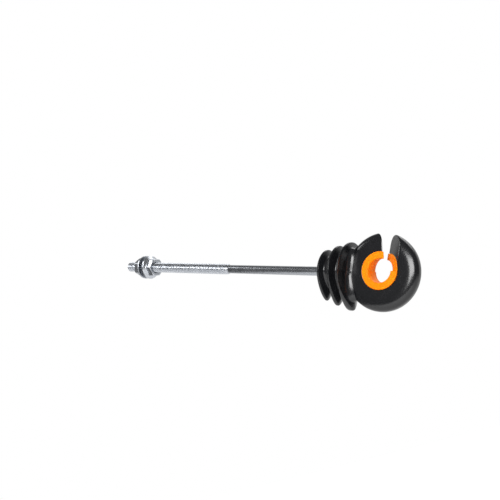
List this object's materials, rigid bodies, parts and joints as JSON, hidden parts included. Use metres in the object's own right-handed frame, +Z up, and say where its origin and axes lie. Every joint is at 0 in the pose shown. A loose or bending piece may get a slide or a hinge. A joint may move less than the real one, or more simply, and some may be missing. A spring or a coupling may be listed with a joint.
{
  "type": "fence insulator",
  "caption": "Distance ring insulator: slotted plastic ring with rain sheds on a threaded steel rod, clamped through a fence post wall by flange nuts.",
  "frame": {"origin": "on the rod's axis in the seat of the outer flange nut, where the nut meets the post's face", "axes": "+X along the rod from the post to the ring, +Z up so that the ring's slot opens upwards, and Y along the fence wire through the ring's eye"},
  "size_m": [0.1958, 0.0266, 0.0382],
  "materials": {
    "black_plastic": "moulded black plastic, satin to gloss",
    "orange_plastic": "moulded orange plastic, satin",
    "zinc_rod": "bright zinc-plated steel, drawn shank and rolled thread",
    "zinc_nut": "bright zinc-plated steel, cold-formed"
  },
  "bodies": {
    "insulator": {"insulator_body": "black_plastic", "wire_guide_insert": "orange_plastic", "threaded_rod": "zinc_rod"},
    "outer_nut": {"outer_flange_nut": "zinc_nut"},
    "inner_nut": {"inner_flange_nut": "zinc_nut"}
  },
  "joints": [
    {"name": "outer_nut_travel", "type": "slide", "parent": "insulator", "child": "outer_nut", "axis": [1, 0, 0], "range_m": [0, 0.057]},
    {"name": "inner_nut_travel", "type": "slide", "parent": "insulator", "child": "inner_nut", "axis": [1, 0, 0], "range_m": [-0.02, 0.0025]}
  ]
}
